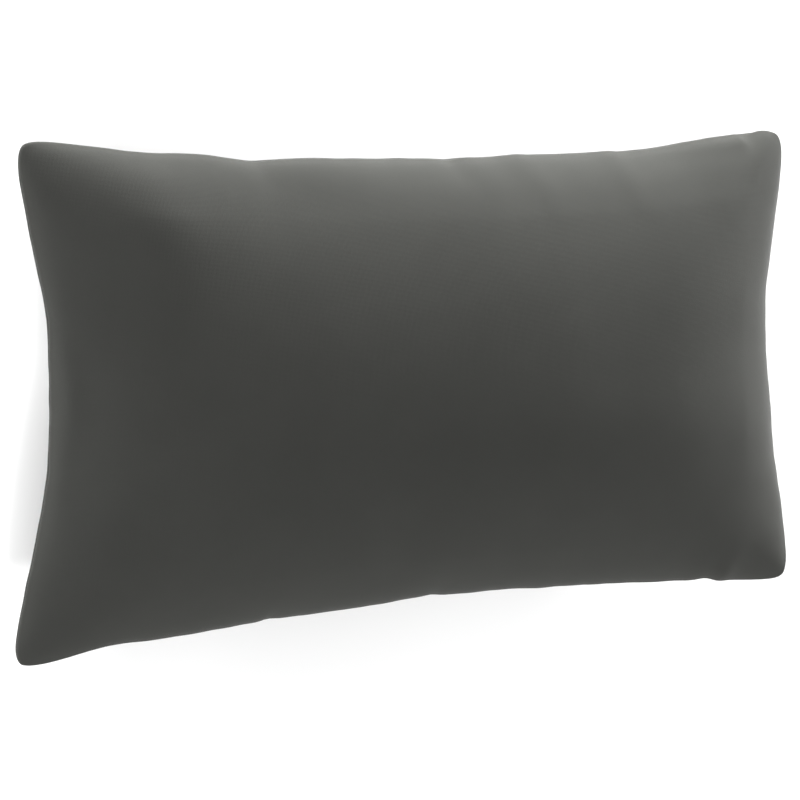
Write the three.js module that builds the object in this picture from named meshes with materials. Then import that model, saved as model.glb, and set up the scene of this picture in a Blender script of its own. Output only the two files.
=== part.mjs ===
// A filled back cushion, lying on its back with its face up.
//
// Two rectangular panels of plain dark grey cloth are sewn together all round and filled. The seam is a
// knife edge without piping. It draws in along the sides, the four corners stand out as soft rounded
// ears, and small puckers run from the seam into the panels.
//
// Millimetres, +Z up. The origin is the middle of the surface that the cushion rests on. +X is the
// cushion's width, +Y the edge that is its top in use, and the face looks along +Z.

import * as THREE from 'three';
import { mergeVertices } from 'three/addons/utils/BufferGeometryUtils.js';

// The cut of both panels, measured on the seam line before filling
const WIDTH = 500;
const HEIGHT = 300;
const CORNER_RADIUS = 22;

// How far the middle of each side is drawn in by the filling
const DRAW_IN = { left: 20.3, right: 18.3, top: 15.5, bottom: 18.9 };

// How quickly a side leaves its corner: a higher power keeps the ear longer
const EAR_POWER = { short: 1.6, long: 0.86 };

// How far each corner flares out as an ear, along both axes, and how much of the sides takes part
const FLARE = { topLeft: 2.0, topRight: 2.7, bottomLeft: 1.2, bottomRight: 1.0 };
const FLARE_REACH = 28;

// Unevenness of the filled cover
const SPREAD = 4.6; // each lower corner lies this much further out than the mean, each upper one less
const FAN = 2.9; // the left side is this much taller, above and below, and the right side shorter
const TWIST = 5; // two opposite corners lie this much higher, the other two lower
const CORNER_DROOP = 5; // the corners hang this far below the middles of the sides

// The filling: height of each crown over the seam, and how it rises from each side. The higher fullness
// is, the fuller the cushion stays towards that side. The lower steepness is, the steeper the panels
// leave the seam. MEET rounds the crown over where two sides meet.
const FACE_CROWN = 51.5;
const BACK_CROWN = 50;
const RISE = {
  left: { fullness: 1.9, steepness: 0.53 },
  right: { fullness: 3.1, steepness: 0.62 },
  top: { fullness: 2.1, steepness: 0.47 },
  bottom: { fullness: 2.0, steepness: 0.56 },
};
const MEET = 0.17;

// The back is pressed flat where it rests
const PRESSED = 6;
const PRESS_BLEND = 2;

// Puckers of the seam. side and at (from -1 to 1 along the side) give the place, reach is half the
// length of seam that it gathers, pull draws the seam in, lift raises it, and run is how far that
// reaches into the panels.
const PUCKERS = [
  { side: 'top', at: -0.71, reach: 16, pull: 1.4, lift: 0, run: 24 },
  { side: 'top', at: -0.45, reach: 18, pull: 2.6, lift: 0, run: 30 },
  { side: 'top', at: 0.08, reach: 15, pull: 1.0, lift: 0, run: 30 },
  { side: 'top', at: 0.54, reach: 34, pull: 1.7, lift: 0, run: 34 },
  { side: 'top', at: 0.8, reach: 24, pull: -1.6, lift: 3, run: 24 },
  { side: 'bottom', at: -0.78, reach: 24, pull: 2.9, lift: 0, run: 24 },
  { side: 'bottom', at: -0.4, reach: 14, pull: 0.7, lift: 0, run: 24 },
  { side: 'bottom', at: -0.01, reach: 18, pull: 2.3, lift: 0, run: 26 },
  { side: 'bottom', at: 0.17, reach: 14, pull: 1.6, lift: 0, run: 22 },
  { side: 'bottom', at: 0.58, reach: 16, pull: -0.7, lift: 0, run: 22 },
  { side: 'bottom', at: 0.75, reach: 18, pull: 1.8, lift: 7, run: 26 },
  { side: 'left', at: 0.36, reach: 16, pull: 1.4, lift: 2, run: 26 },
  { side: 'left', at: -0.28, reach: 18, pull: 1.7, lift: -2, run: 22 },
  { side: 'right', at: 0.3, reach: 24, pull: 1.7, lift: 0, run: 24 },
  { side: 'right', at: -0.2, reach: 30, pull: -2.0, lift: 0, run: 24 },
  { side: 'right', at: -0.6, reach: 18, pull: -1.3, lift: 0, run: 22 },
];

// Swells of the panels between the puckers. height bulges the cloth, or hollows it where it is negative,
// and is greatest at run in from the seam. SWELL_START is how full the cushion is where a swell is whole.
const SWELL_START = 0.5;
const SWELLS = [
  { side: 'top', at: -0.71, reach: 30, height: 5.5, run: 23 },
  { side: 'top', at: -0.4, reach: 45, height: -2.8, run: 16 },
  { side: 'top', at: 0.09, reach: 36, height: 2.0, run: 60 },
  { side: 'top', at: 0.3, reach: 45, height: 3.2, run: 64 },
  { side: 'top', at: 0.64, reach: 45, height: 5.5, run: 54 },
  { side: 'top', at: 0.85, reach: 34, height: 5.0, run: 18 },
  { side: 'bottom', at: -0.01, reach: 24, height: 0.8, run: 26 },
  { side: 'bottom', at: 0.75, reach: 18, height: -1.3, run: 26 },
  { side: 'left', at: -0.28, reach: 18, height: -1.6, run: 22 },
  { side: 'right', at: 0.3, reach: 24, height: 1.6, run: 24 },
  { side: 'right', at: -0.2, reach: 30, height: 2.8, run: 24 },
  { side: 'right', at: -0.6, reach: 18, height: -1.4, run: 22 },
];

// The lattice of each panel: a grid in the middle and a border of rings around it. Each ring is given
// as its share of the way from the grid to the seam.
const COLUMNS = 50;
const ROWS = 30;
const BORDER = 34;
const RINGS = [0, 0.4, 0.68, 0.86, 0.955, 1];
const CORNER_CROWDING = 0.5;
const SAME_POINT = 0.001; // points closer than this are one

const CLOTH = new THREE.MeshStandardMaterial({ color: 0x444542, roughness: 0.95, metalness: 0 });

const ARC_SAG = 1 - Math.SQRT1_2;

// 1 in the middle of a side, 0 at its two corners
function bow(along, power) {
  return Math.pow(Math.max(0, 1 - along * along), power);
}

// How far a point is taken in, along each axis, to round the corners. The powers make the outline run
// at 45 degrees where two sides meet.
function cornerRounding(u, v) {
  const sag = ARC_SAG * CORNER_RADIUS;
  return sag * Math.pow(Math.abs(u), WIDTH / (4 * sag)) * Math.pow(Math.abs(v), HEIGHT / (4 * sag));
}

// How much a point has part in something at a distance from it: 1 there, falling to 0 over the reach
function nearness(distance, reach) {
  return Math.exp(-Math.pow(distance / reach, 2));
}

// How far a point is moved out, along each axis, by the flare of its ear
function earFlare(u, v) {
  const left = v > 0 ? FLARE.topLeft : FLARE.bottomLeft;
  const right = v > 0 ? FLARE.topRight : FLARE.bottomRight;
  const fromShort = nearness((1 - Math.abs(u)) * WIDTH / 2, FLARE_REACH);
  const fromLong = nearness((1 - Math.abs(v)) * HEIGHT / 2, FLARE_REACH);
  return (u > 0 ? right : left) * fromShort * fromLong;
}

// For a point of a panel, how far along and how far in from a side it is
function placeOnSide(side, u, v) {
  if (side === 'top' || side === 'bottom') {
    const edge = side === 'top' ? 1 : -1;
    return { along: u, half: WIDTH / 2, inward: (1 - v * edge) * HEIGHT / 2 };
  }
  const edge = side === 'right' ? 1 : -1;
  return { along: v, half: HEIGHT / 2, inward: (1 - u * edge) * WIDTH / 2 };
}

// What all puckers together do to a point of a panel
function puckerAt(u, v) {
  const sum = { pullX: 0, pullY: 0, lift: 0 };
  for (const pucker of PUCKERS) {
    const place = placeOnSide(pucker.side, u, v);
    const near = nearness((place.along - pucker.at) * place.half, pucker.reach);
    const fade = near * Math.exp(-place.inward / pucker.run);
    const towardsMiddle = pucker.side === 'top' || pucker.side === 'right' ? -1 : 1;
    const axis = place.half === WIDTH / 2 ? 'pullY' : 'pullX';
    sum[axis] += towardsMiddle * pucker.pull * fade;
    sum.lift += pucker.lift * fade;
  }
  return sum;
}

// How far all swells together lift a point of a panel
function swellAt(u, v) {
  let sum = 0;
  for (const swell of SWELLS) {
    const place = placeOnSide(swell.side, u, v);
    const near = nearness((place.along - swell.at) * place.half, swell.reach);
    const share = place.inward / swell.run;
    sum += swell.height * near * share * Math.exp(1 - share);
  }
  return sum;
}

// How full the cushion is at a share of the way from its middle to a side
function fullnessTowards(side, share) {
  return Math.pow(Math.max(0, 1 - Math.pow(share, side.fullness)), side.steepness);
}

// How full the cushion is over a point, from 0 on the seam to 1 in the middle
function fullnessAt(u, v) {
  const across = fullnessTowards(u > 0 ? RISE.right : RISE.left, Math.abs(u));
  const upwards = fullnessTowards(v > 0 ? RISE.top : RISE.bottom, Math.abs(v));
  if (Math.min(across, upwards) <= 0) return 0;
  return Math.pow(Math.pow(across, -MEET) + Math.pow(upwards, -MEET) - 1, -1 / MEET);
}

// The filled place of the point u, v of a panel, where both run from -1 to 1 over the cut.
// facing is 1 on the face and -1 on the back.
function filled(u, v, facing) {
  const outward = earFlare(u, v) - cornerRounding(u, v);
  const drawX = (u > 0 ? DRAW_IN.right : DRAW_IN.left) * bow(v, EAR_POWER.short);
  const drawY = (v > 0 ? DRAW_IN.top : DRAW_IN.bottom) * bow(u, EAR_POWER.long);
  const pucker = puckerAt(u, v);
  const x = u * (WIDTH / 2 - drawX - SPREAD * v) + Math.sign(u) * outward + pucker.pullX;
  const y = v * (HEIGHT / 2 - drawY - FAN * u) + Math.sign(v) * outward + pucker.pullY;
  const seamZ = pucker.lift - CORNER_DROOP * u * u * v * v - TWIST * u * v;
  const full = fullnessAt(u, v);
  const crown = (facing > 0 ? FACE_CROWN : BACK_CROWN) * full;
  const swell = swellAt(u, v) * Math.min(1, full / SWELL_START);
  return new THREE.Vector3(x, y, seamZ + facing * (crown + swell));
}

// Even steps from -1 to 1 that crowd towards both ends, where the corners are round
function crowded(step, steps) {
  const even = 2 * step / steps - 1;
  return THREE.MathUtils.lerp(even, Math.sin(even * Math.PI / 2), CORNER_CROWDING);
}

// The point of a panel at a step of the lattice. share is 0 on the grid and 1 on the seam.
function latticePoint(i, j, share, facing) {
  const scaleU = 1 - (1 - share) * 2 * BORDER / WIDTH;
  const scaleV = 1 - (1 - share) * 2 * BORDER / HEIGHT;
  return filled(scaleU * crowded(i, COLUMNS), scaleV * crowded(j, ROWS), facing);
}

function gridRow(j, facing) {
  const row = [];
  for (let i = 0; i <= COLUMNS; i += 1) row.push(latticePoint(i, j, 0, facing));
  return row;
}

// A ring of the border, anticlockwise from the lower left corner
function ring(share, facing) {
  const points = [];
  for (let i = 0; i < COLUMNS; i += 1) points.push(latticePoint(i, 0, share, facing));
  for (let j = 0; j < ROWS; j += 1) points.push(latticePoint(COLUMNS, j, share, facing));
  for (let i = COLUMNS; i > 0; i -= 1) points.push(latticePoint(i, ROWS, share, facing));
  for (let j = ROWS; j > 0; j -= 1) points.push(latticePoint(0, j, share, facing));
  return points;
}

// The quads between two rows of points, anticlockwise where the second row lies to the left
function strip(row, next, closed) {
  const quads = [];
  const last = closed ? row.length : row.length - 1;
  for (let i = 0; i < last; i += 1) {
    const j = (i + 1) % row.length;
    quads.push([row[i], row[j], next[j], next[i]]);
  }
  return quads;
}

// Two triangles of a quad, parted by its longer diagonal, so that the edges of the lattice stay shorter
// than the diagonals all over
function split([a, b, c, d]) {
  return a.distanceTo(c) >= b.distanceTo(d) ? [a, b, c, a, c, d] : [b, c, d, b, d, a];
}

// One panel as a list of triangles, three points each
function panel(facing) {
  const quads = [];
  for (let j = 0; j < ROWS; j += 1) {
    quads.push(...strip(gridRow(j, facing), gridRow(j + 1, facing), false));
  }
  for (let k = 1; k < RINGS.length; k += 1) {
    quads.push(...strip(ring(RINGS[k], facing), ring(RINGS[k - 1], facing), true));
  }
  return quads.flatMap((quad) => split(facing > 0 ? quad : quad.reverse()));
}

// The height over the surface once the back is pressed flat, from the height over the pressed level
function pressedHeight(above) {
  if (above <= -PRESS_BLEND) return 0;
  if (above >= PRESS_BLEND) return above;
  return Math.pow(above + PRESS_BLEND, 2) / (4 * PRESS_BLEND);
}

// Presses the lowest part of the back flat and sets the cushion down with its outline over the origin
function setDown(geometry) {
  geometry.computeBoundingBox();
  const middle = geometry.boundingBox.getCenter(new THREE.Vector3());
  const level = geometry.boundingBox.min.z + PRESSED;
  const places = geometry.attributes.position;
  for (let i = 0; i < places.count; i += 1) {
    const height = pressedHeight(places.getZ(i) - level);
    places.setXYZ(i, places.getX(i) - middle.x, places.getY(i) - middle.y, height);
  }
}

function cushionGeometry() {
  const corners = new THREE.BufferGeometry().setFromPoints([...panel(1), ...panel(-1)]);
  const geometry = mergeVertices(corners, SAME_POINT);
  setDown(geometry);
  return geometry;
}

const cushion = new THREE.Mesh(cushionGeometry(), CLOTH);
cushion.name = 'cushion';

const backCushion = new THREE.Group();
backCushion.name = 'back_cushion';
backCushion.add(cushion);

export default backCushion;
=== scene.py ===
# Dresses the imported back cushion: filled cloth, its seam, the cloth's finish, and the studio around it.
# Everything is in metres, in the model's own frame: the cushion lies on its back, face towards +Z.
import math

import bpy
import numpy as np
from mathutils import Matrix, Vector, noise


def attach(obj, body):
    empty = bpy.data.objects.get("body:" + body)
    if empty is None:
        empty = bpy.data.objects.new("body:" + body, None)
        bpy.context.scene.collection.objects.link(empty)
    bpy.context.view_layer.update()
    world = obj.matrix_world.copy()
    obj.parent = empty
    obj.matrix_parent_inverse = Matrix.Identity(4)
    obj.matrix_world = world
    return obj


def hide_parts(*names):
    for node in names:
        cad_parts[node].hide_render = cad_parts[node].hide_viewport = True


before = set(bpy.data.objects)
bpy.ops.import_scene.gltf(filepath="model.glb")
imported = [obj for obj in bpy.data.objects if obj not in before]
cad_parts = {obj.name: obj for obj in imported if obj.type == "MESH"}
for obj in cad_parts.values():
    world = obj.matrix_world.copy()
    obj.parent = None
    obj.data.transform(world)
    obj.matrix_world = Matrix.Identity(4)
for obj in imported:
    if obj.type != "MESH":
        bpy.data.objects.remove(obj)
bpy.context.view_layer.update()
print("frame loaded")

view = {
    "fromLeft": 22.4,  # degrees, off the face's normal
    "fromAbove": 10.0,
    "lens": 100.0,  # millimetres, as the sensor
    "sensor": 36.0,
    "distance": 1.320,
    "aim": (-0.0179, -0.0089, 0.0445),
}


def makeCamera(settings):
    turn, lift = math.radians(settings["fromLeft"]), math.radians(settings["fromAbove"])
    towards = Vector((-math.sin(turn) * math.cos(lift), math.sin(lift), math.cos(turn) * math.cos(lift)))
    right = Vector((0, 1, 0)).cross(towards).normalized()
    up = towards.cross(right)
    turned = Matrix((right, up, towards)).transposed()
    place = Vector(settings["aim"]) + towards * settings["distance"]
    bpy.ops.object.camera_add(location=place, rotation=turned.to_euler())
    camera = bpy.context.object
    camera.data.lens = settings["lens"]
    camera.data.sensor_width = settings["sensor"]
    bpy.context.scene.camera = camera


studio = {
    "floorSize": 8.0,
    "floorDrop": 0.0002,
    "floorShade": 0.93,
    "floorRoughness": 0.9,
    "floorGloss": 0.1,
    "roomStrength": 0.46,
    "roomColour": (1.0, 1.0, 1.0),
    "lampsAim": (0.0, 0.0, 0.07),
    "lampDistance": 2.4,
    "lampSize": (1.0, 0.35),
}

# Each soft lamp's place, in degrees: turned from +Y towards +X, and lifted off the floor. Power in watts.
lamps = {
    "key_light": {"turn": 30, "lift": 4, "power": 196},
    "top_light": {"turn": -10, "lift": 4, "power": 32},
    "top_left_light": {"turn": -40, "lift": 4, "power": 40},
    "low_left_light": {"turn": -120, "lift": 4, "power": 20},
    "right_light": {"turn": 80, "lift": 4, "power": 46},
    "fill_light": {"turn": 180, "lift": 35, "power": 50},
}

# Low lamps beside the cushion that face the floor, so that the rims next to them are lit off the floor
floorLamps = {
    "left_floor_light": {
        "place": (-0.40, 0.0, 0.13), "facing": (-0.50, 0.0, -0.87), "size": (0.55, 0.12), "power": 3.4},
    "top_floor_light": {
        "place": (0.06, 0.304, 0.13), "facing": (0.0, 0.50, -0.87), "size": (0.36, 0.12), "power": 2.2},
}


def addLamp(name, place, facing, size, power):
    turned = facing.to_track_quat("-Z", "Y")
    bpy.ops.object.light_add(type="AREA", location=place, rotation=turned.to_euler())
    light = bpy.context.object
    light.name = name
    light.visible_camera = False
    light.data.shape = "RECTANGLE"
    light.data.size, light.data.size_y = size
    light.data.energy = power


def makeLamp(name, lamp, settings):
    turn, lift = math.radians(lamp["turn"]), math.radians(lamp["lift"])
    towards = Vector((math.sin(turn) * math.cos(lift), math.cos(turn) * math.cos(lift), math.sin(lift)))
    place = Vector(settings["lampsAim"]) + towards * settings["lampDistance"]
    addLamp(name, place, -towards, settings["lampSize"], lamp["power"])


def makeFloor(settings):
    bpy.ops.mesh.primitive_plane_add(size=settings["floorSize"], location=(0, 0, -settings["floorDrop"]))
    floor = bpy.context.object
    floor.name = "studio_floor"
    bpy.ops.object.transform_apply(location=True, rotation=False, scale=True)
    paper = Finish("pale_floor")
    paper.node("ShaderNodeBsdfPrincipled", {}, {
        "Base Color": (settings["floorShade"],) * 3 + (1,),
        "Roughness": settings["floorRoughness"],
        "Specular IOR Level": settings["floorGloss"]})
    paper.done(floor)


def makeStudio(settings):
    makeFloor(settings)
    room = bpy.data.worlds.new("soft_room")
    bpy.context.scene.world = room
    room.use_nodes = True
    sky = room.node_tree.nodes["Background"]
    sky.inputs["Color"].default_value = settings["roomColour"] + (1,)
    sky.inputs["Strength"].default_value = settings["roomStrength"]

    for name, lamp in lamps.items():
        makeLamp(name, lamp, settings)
    for name, lamp in floorLamps.items():
        addLamp(name, lamp["place"], Vector(lamp["facing"]), lamp["size"], lamp["power"])

    bpy.context.scene.view_settings.view_transform = "Standard"


# Shader maths, so that a finish reads as expressions
class Value:
    def __init__(self, finish, socket):
        self.finish = finish
        self.socket = socket

    def maths(self, operation, *others, clamp=False):
        sockets = {index: other for index, other in enumerate((self,) + others)}
        settings = {"operation": operation, "use_clamp": clamp}
        return self.finish.node("ShaderNodeMath", settings, sockets)

    def __add__(self, other):
        return self.maths("ADD", other)

    __radd__ = __add__

    def __mul__(self, other):
        return self.maths("MULTIPLY", other)

    __rmul__ = __mul__

    def __sub__(self, other):
        return self.maths("SUBTRACT", other)

    def __rsub__(self, other):
        return (self * -1) + other

    def __truediv__(self, other):
        return self.maths("DIVIDE", other)

    def __rtruediv__(self, other):
        return self.maths("POWER", -1) * other

    def sine(self):
        return self.maths("SINE")

    def floor(self):
        return self.maths("FLOOR")

    def fraction(self):
        return self.maths("FRACT")

    def between(self, low, high):
        return ((self - low) / (high - low)).maths("ADD", 0.0, clamp=True)


# One node material, made by asking for its nodes in turn
class Finish:
    def __init__(self, name):
        self.material = bpy.data.materials.new(name)
        self.material.use_nodes = True
        self.tree = self.material.node_tree
        self.tree.nodes.clear()
        self.last = None

    def node(self, kind, settings, sockets, output=0):
        made = self.tree.nodes.new(kind)
        for name, value in settings.items():
            setattr(made, name, value)
        for name, value in sockets.items():
            if isinstance(value, Value):
                self.tree.links.new(value.socket, made.inputs[name])
            else:
                made.inputs[name].default_value = value
        self.last = made
        return Value(self, made.outputs[output])

    # Sockets 6 and 7 of a Mix node are its two colours, and its output 2 is the colour between them
    def colourBetween(self, share, low, high):
        return self.node("ShaderNodeMix", {"data_type": "RGBA"}, {0: share, 6: low, 7: high}, output=2)

    def done(self, piece):
        end = self.tree.nodes.new("ShaderNodeOutputMaterial")
        self.tree.links.new(self.last.outputs[0], end.inputs["Surface"])
        piece.data.materials.clear()
        piece.data.materials.append(self.material)


cloth = {
    "colour": (0.0405, 0.0412, 0.0383, 1),
    "worn": (0.0436, 0.0443, 0.0412, 1),
    # painted shade: the darker colour that the cloth takes along the seam, standing in for the shade in its
    # groove
    "seamShadeColour": (0.0300, 0.0306, 0.0285, 1),
    "threadPitch": 0.0007,
    "threadHeight": 0.00006,
    "threadCrimp": 0.4,  # how much a thread drops where it leaves the one that it crosses
    "mottleSize": 28.0,  # patches to a metre
    "mottleDetail": 3.0,
    "mottleRange": (0.35, 0.65),
    "mottleTone": 0.6,
    "yarnSize": 900.0,  # uneven places of the yarn to a metre
    "yarnDetail": 2.0,
    "yarnRange": (0.3, 0.7),
    "yarnTone": 0.4,
    "weaveRelief": 0.8,
    "yarnRelief": 0.35,
    "roughness": 0.9,
    "gloss": 0.02,
    "sheen": 0.125,
    "sheenRoughness": 0.3,
    # how far from the seam the painted shade reaches
    "seamShade": 0.0016,
}


# The height of a plain weave, each thread going over one and under the next
def weaveHeight(finish, settings):
    cut = finish.node("ShaderNodeUVMap", {"uv_map": "cut"}, {})
    across = finish.node("ShaderNodeSeparateXYZ", {}, {0: cut}, output="X") / settings["threadPitch"]
    along = finish.node("ShaderNodeSeparateXYZ", {}, {0: cut}, output="Y") / settings["threadPitch"]
    warpOver = ((across.floor() + along.floor()) / 2).fraction() * 2  # 0 or 1, as a chessboard
    warp = (across.fraction() * math.pi).sine()
    weft = (along.fraction() * math.pi).sine()
    crimp = settings["threadCrimp"]
    warpTop = warp * (weft * crimp + (1 - crimp))
    weftTop = weft * (warp * crimp + (1 - crimp))
    return warpTop * warpOver + weftTop * (1 - warpOver)


def clothFinish(settings):
    finish = Finish("woven_cloth")
    weave = weaveHeight(finish, settings)
    place = finish.node("ShaderNodeTexCoord", {}, {}, output="Object")
    patches = finish.node("ShaderNodeTexNoise", {}, {
        "Vector": place, "Scale": settings["mottleSize"], "Detail": settings["mottleDetail"]})
    yarns = finish.node("ShaderNodeTexNoise", {}, {
        "Vector": place, "Scale": settings["yarnSize"], "Detail": settings["yarnDetail"]})
    gap = finish.node("ShaderNodeAttribute", {"attribute_name": "fromSeam"}, {}, output="Fac")
    # Painted shade: next to the seam the cloth's colour is mixed towards the darker seam colour, as if
    # shaded in the groove
    seamShadeShare = 1 - gap.between(0.0, settings["seamShade"])

    mottle = patches.between(*settings["mottleRange"]) * settings["mottleTone"]
    slubs = yarns.between(*settings["yarnRange"]) * settings["yarnTone"]
    plain = finish.colourBetween(mottle + slubs, settings["colour"], settings["worn"])
    colour = finish.colourBetween(seamShadeShare, plain, settings["seamShadeColour"])
    relief = weave * settings["weaveRelief"] + yarns * settings["yarnRelief"]
    bump = finish.node("ShaderNodeBump", {}, {
        "Strength": 1.0, "Distance": settings["threadHeight"], "Height": relief})
    finish.node("ShaderNodeBsdfPrincipled", {}, {
        "Base Color": colour, "Roughness": settings["roughness"], "Specular IOR Level": settings["gloss"],
        "Sheen Weight": settings["sheen"], "Sheen Roughness": settings["sheenRoughness"],
        "Sheen Tint": (1, 1, 1, 1), "Normal": bump})
    return finish


cushion = {
    "node": "cushion",
    "mergeWithin": 0.00002,
    "cutMargin": 0.01,
    "physics": {  # by Blender's own names
        "quality": 8,
        "mass": 0.3,
        "tension_stiffness": 40,
        "compression_stiffness": 40,
        "shear_stiffness": 20,
        "bending_stiffness": 10,
        "pin_stiffness": 5.0,
        "use_pressure": True,
        "uniform_pressure_force": 4.0,
    },
    "simFrames": 20,
    "mostMove": 0.0025,
    "restsBelow": 0.0003,
    "grooveDepth": 0.0012,
    "grooveWidth": 0.0011,
    "plyHeight": 0.0004,
    "plyAt": 0.0026,
    "plyWidth": 0.0016,
    "gatherHeight": 0.0005,
    "gatherRun": 0.014,
    "gatherLength": 0.013,
    "gatherRise": 0.06,
    "gatherPlaces": {"top": 3.0, "bottom": 7.0, "right": 11.0, "left": 19.0},  # each side's own row of noise
    "shortSideFrom": 0.19,  # off the middle, across
    "shortSideBlend": 0.03,
    "foldsFade": 0.4,  # how far under level a normal points where the folds have ended
    "fill": 0.8,
}

# Soft folds of the face by the seam. Each runs from one place to another, seen from above, and fades on
# the way. Height is negative where the cloth is drawn in.
folds = [
    {"start": (-0.109, 0.136), "end": (-0.104, 0.116), "width": 0.006, "height": -0.0009},
    {"start": (0.010, 0.135), "end": (0.012, 0.118), "width": 0.005, "height": -0.0010},
    {"start": (0.022, 0.135), "end": (0.034, 0.112), "width": 0.008, "height": 0.0010},
    {"start": (0.055, 0.132), "end": (0.076, 0.094), "width": 0.009, "height": 0.0012},
    {"start": (0.117, 0.132), "end": (0.131, 0.094), "width": 0.009, "height": 0.0012},
    {"start": (0.207, 0.139), "end": (0.145, 0.133), "width": 0.004, "height": 0.0014},
    {"start": (0.219, 0.146), "end": (0.214, 0.132), "width": 0.004, "height": -0.0009},
    {"start": (0.228, 0.142), "end": (0.208, 0.112), "width": 0.008, "height": 0.0013},
    {"start": (0.187, -0.139), "end": (0.189, -0.116), "width": 0.006, "height": -0.0012},
    {"start": (0.197, -0.133), "end": (0.213, -0.104), "width": 0.008, "height": 0.0010},
    {"start": (0.001, -0.131), "end": (0.004, -0.112), "width": 0.005, "height": -0.0008},
    {"start": (-0.103, -0.136), "end": (-0.098, -0.116), "width": 0.005, "height": -0.0008},
    {"start": (-0.231, -0.036), "end": (-0.212, -0.032), "width": 0.006, "height": -0.0008},
    {"start": (-0.232, 0.050), "end": (-0.212, 0.046), "width": 0.006, "height": -0.0008},
    {"start": (-0.221, 0.012), "end": (-0.229, 0.095), "width": 0.006, "height": 0.0013},
    {"start": (-0.221, 0.002), "end": (-0.234, -0.090), "width": 0.006, "height": 0.0013},
]

tiny = 1e-9  # stands in for zero under a division
wholeWeight = 0.999  # a point on the seam has more than this of its weight, and one added beside it less


def deselectAll():
    bpy.ops.object.select_all(action="DESELECT")
    bpy.context.view_layer.objects.active = None


def makeActive(piece):
    deselectAll()
    piece.select_set(True)
    bpy.context.view_layer.objects.active = piece


def applyModifier(piece, modifier):
    makeActive(piece)
    bpy.ops.object.modifier_apply(modifier=modifier.name)


def valuesOf(items, name, width=1, kind=float):
    flat = np.empty(len(items) * width, dtype=kind)
    items.foreach_get(name, flat)
    return flat.reshape(-1, width) if width > 1 else flat


def pointsOf(piece):
    return valuesOf(piece.data.vertices, "co", 3)


def movePoints(piece, points):
    piece.data.vertices.foreach_set("co", points.ravel())
    piece.data.update()


def copyOfNode(settings):
    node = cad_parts[settings["node"]]
    piece = node.copy()
    piece.data = node.data.copy()
    piece.parent = None
    piece.matrix_world = Matrix.Identity(4)
    piece.name = "cushion_cover"
    bpy.context.collection.objects.link(piece)
    makeActive(piece)
    bpy.ops.object.mode_set(mode="EDIT")
    bpy.ops.mesh.select_all(action="SELECT")
    bpy.ops.mesh.remove_doubles(threshold=settings["mergeWithin"])
    bpy.ops.object.mode_set(mode="OBJECT")
    joinTriangles(piece)
    return piece


# The solid's lattice was parted by diagonals. Each is the longest edge of both its triangles.
def joinTriangles(piece):
    mesh = piece.data
    length = {}
    for edge in mesh.edges:
        start, end = edge.key
        length[edge.key] = (mesh.vertices[start].co - mesh.vertices[end].co).length
    longest = {}
    for face in mesh.polygons:
        key = max(face.edge_keys, key=length.get)
        longest[key] = longest.get(key, 0) + 1
    makeActive(piece)
    bpy.ops.object.mode_set(mode="EDIT")
    bpy.ops.mesh.select_mode(type="EDGE")
    bpy.ops.mesh.select_all(action="DESELECT")
    bpy.ops.object.mode_set(mode="OBJECT")
    for edge in mesh.edges:
        edge.select = longest.get(edge.key, 0) == 2
    bpy.ops.object.mode_set(mode="EDIT")
    bpy.ops.mesh.dissolve_edges(use_verts=False)
    bpy.ops.mesh.select_all(action="SELECT")
    bpy.ops.mesh.normals_make_consistent(inside=False)
    bpy.ops.object.mode_set(mode="OBJECT")


# The seam runs where a face of the front panel meets one of the back panel
def markSeam(piece):
    mesh = piece.data
    facing = {}
    for face in mesh.polygons:
        for key in face.edge_keys:
            facing.setdefault(key, set()).add(face.normal.z > 0)
    onSeam = set()
    makeActive(piece)
    bpy.ops.object.mode_set(mode="EDIT")
    bpy.ops.mesh.select_all(action="DESELECT")
    bpy.ops.object.mode_set(mode="OBJECT")
    for edge in mesh.edges:
        edge.use_seam = edge.select = len(facing[edge.key]) == 2
        if edge.use_seam:
            onSeam.update(edge.vertices)
    bpy.ops.object.mode_set(mode="EDIT")
    bpy.ops.transform.edge_crease(value=1.0)
    bpy.ops.object.mode_set(mode="OBJECT")
    group = piece.vertex_groups.new(name="seam")
    group.add(list(onSeam), 1.0, "REPLACE")
    print("seam points", len(onSeam))


def subdivide(piece):
    modifier = piece.modifiers.new("smooth", "SUBSURF")
    modifier.levels = modifier.render_levels = 1
    applyModifier(piece, modifier)


def seamVertices(piece):
    group = piece.vertex_groups["seam"].index
    for vertex in piece.data.vertices:
        if any(g.group == group and g.weight > wholeWeight for g in vertex.groups):
            yield vertex


# Where the seam runs, as a closed line of points in order round the cushion
def seamLine(piece):
    points = [vertex.co.copy() for vertex in seamVertices(piece)]
    points.sort(key=lambda p: math.atan2(p.y, p.x))
    return np.array(points)


# For each point, how far it is from a closed line
def distanceToLine(points, line):
    nearest = np.full(len(points), np.inf)
    step = np.roll(line, -1, axis=0) - line
    reach = (step ** 2).sum(axis=1)
    for start, along, square in zip(line, step, reach):
        share = np.clip((points - start) @ along / square, 0, 1)
        gap = points - start - share[:, None] * along
        nearest = np.minimum(nearest, (gap ** 2).sum(axis=1))
    return np.sqrt(nearest)


# Holds the seam and what rests on the floor where they are, while the cloth is blown up
def pinCover(piece, settings):
    pinned = piece.vertex_groups.new(name="pinned")
    resting = [v.index for v in piece.data.vertices if v.co.z < settings["restsBelow"]]
    pinned.add(resting, 1.0, "REPLACE")
    pinned.add([v.index for v in seamVertices(piece)], 1.0, "REPLACE")


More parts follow.
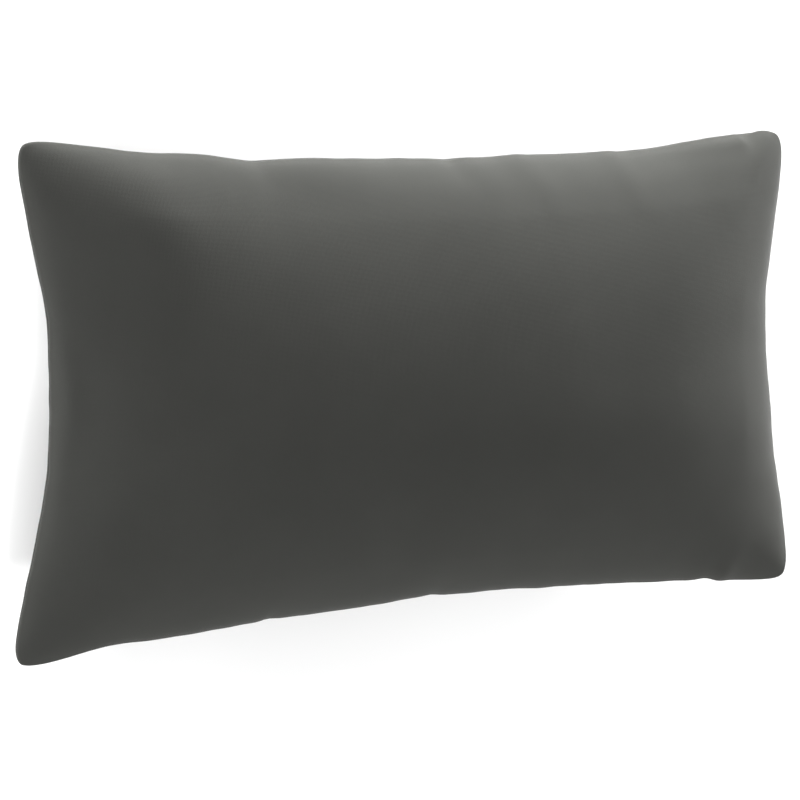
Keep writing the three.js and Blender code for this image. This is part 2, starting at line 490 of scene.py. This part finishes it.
# Fills the cover: the cloth is blown up from inside, and no point moves further than the settings say
def inflate(piece, settings):
    before = pointsOf(piece)
    pinCover(piece, settings)
    modifier = piece.modifiers.new("filling", "CLOTH")
    for name, value in settings["physics"].items():
        setattr(modifier.settings, name, value)
    modifier.settings.vertex_group_mass = "pinned"
    modifier.settings.effector_weights.gravity = 0
    modifier.collision_settings.use_collision = False
    modifier.point_cache.frame_end = settings["simFrames"]
    scene = bpy.context.scene
    for number in range(1, settings["simFrames"] + 1):
        scene.frame_set(number)
    applyModifier(piece, modifier)
    scene.frame_set(1)
    moved = pointsOf(piece) - before
    far = np.linalg.norm(moved, axis=1, keepdims=True)
    print("the cloth moved up to", round(far.max() * 1000, 1), "mm")
    share = np.minimum(1, settings["mostMove"] / np.maximum(far, tiny))
    movePoints(piece, before + moved * share)
    piece.vertex_groups.remove(piece.vertex_groups["pinned"])


# The fine form by the seam: a groove where the panels dive in, a soft ply on both sides of it, small
# gathers that run into the panels, and the folds of the face
def shapeSeam(piece, settings):
    points, normals = pointsOf(piece), valuesOf(piece.data.vertices, "normal", 3)
    gap = distanceToLine(points, seamLine(piece))
    groove = -settings["grooveDepth"] * np.exp(-(gap / settings["grooveWidth"]) ** 2)
    ply = settings["plyHeight"] * np.exp(-((gap - settings["plyAt"]) / settings["plyWidth"]) ** 2)
    gathers = np.array([gatherAt(point, settings) for point in points])
    gathers *= np.exp(-gap / settings["gatherRun"]) * (1 - np.exp(-gap / settings["plyWidth"]))
    onFace = np.clip((normals[:, 2] + settings["foldsFade"]) / settings["foldsFade"], 0, 1)
    lift = groove + ply + gathers + foldHeight(points) * onFace
    lift[points[:, 2] < settings["restsBelow"]] = 0
    movePoints(piece, points + normals * lift[:, None])
    attribute = piece.data.attributes.new("fromSeam", "FLOAT", "POINT")
    attribute.data.foreach_set("value", gap)


def foldHeight(points):
    height = np.zeros(len(points))
    for fold in folds:
        start = np.array(fold["start"])
        run = np.array(fold["end"]) - start
        away = points[:, :2] - start
        share = np.clip(away @ run / (run @ run), 0, 1)
        aside = np.linalg.norm(away - share[:, None] * run, axis=1)
        height += fold["height"] * (1 - share) * np.exp(-(aside / fold["width"]) ** 2)
    return height


# Gathers follow one another along the seam: across on the long sides, and up and down on the short ones
def gatherAt(point, settings):
    places = settings["gatherPlaces"]
    long = places["top"] if point[1] > 0 else places["bottom"]
    short = places["right"] if point[0] > 0 else places["left"]
    rise = point[2] / settings["gatherRise"]
    across = noise.noise(Vector((point[0] / settings["gatherLength"], long, rise)))
    along = noise.noise(Vector((short, point[1] / settings["gatherLength"], rise)))
    sideways = (abs(point[0]) - settings["shortSideFrom"]) / settings["shortSideBlend"]
    sideways = max(0.0, min(1.0, sideways))
    return settings["gatherHeight"] * (across * (1 - sideways) + along * sideways)


def unwrap(piece, settings):
    makeActive(piece)
    bpy.ops.object.mode_set(mode="EDIT")
    bpy.ops.mesh.select_all(action="SELECT")
    bpy.ops.uv.unwrap(method="CONFORMAL", margin=settings["cutMargin"])
    bpy.ops.object.mode_set(mode="OBJECT")


# Turns, sizes and places flat cloth so that it lies over its plan as well as it can
def laidOver(flat, plan):
    basis = np.stack([flat, np.ones_like(flat)], axis=1)
    turn = np.linalg.lstsq(basis, plan, rcond=None)[0]
    return turn[0] * flat + turn[1]


# Lays both panels out flat as they were cut, so that the weave runs with the cloth. A place on the flat
# cloth is a complex number, and the back panel's plan is its mirror image.
def cutPattern(piece, settings):
    unwrap(piece, settings)
    mesh = piece.data
    layer = mesh.uv_layers.active
    layer.name = "cut"
    flat = valuesOf(layer.uv, "vector", 2)
    flat = flat[:, 0] + 1j * flat[:, 1]
    points = pointsOf(piece)[valuesOf(mesh.loops, "vertex_index", kind=int)]
    plan = points[:, 0] + 1j * points[:, 1]
    facesUp = valuesOf(mesh.polygons, "normal", 3)[:, 2] > 0
    front = np.repeat(facesUp, valuesOf(mesh.polygons, "loop_total", kind=int))
    flat[front] = laidOver(flat[front], plan[front])
    flat[~front] = laidOver(flat[~front], np.conj(plan[~front]))
    layer.uv.foreach_set("vector", np.stack([flat.real, flat.imag], axis=1).ravel())


def makeCushion(settings):
    cover = copyOfNode(settings)
    print("quads", sum(len(p.vertices) == 4 for p in cover.data.polygons), "of", len(cover.data.polygons))
    markSeam(cover)
    cutPattern(cover, settings)
    subdivide(cover)
    inflate(cover, settings)
    subdivide(cover)
    shapeSeam(cover, settings)
    makeActive(cover)
    bpy.ops.object.shade_smooth()
    clothFinish(cloth).done(cover)
    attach(cover, "root")
    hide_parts(settings["node"])
    print("cushion made,", len(cover.data.polygons), "faces")


makeCamera(view)
deselectAll()
makeCushion(cushion)
deselectAll()
makeStudio(studio)
print("studio made")
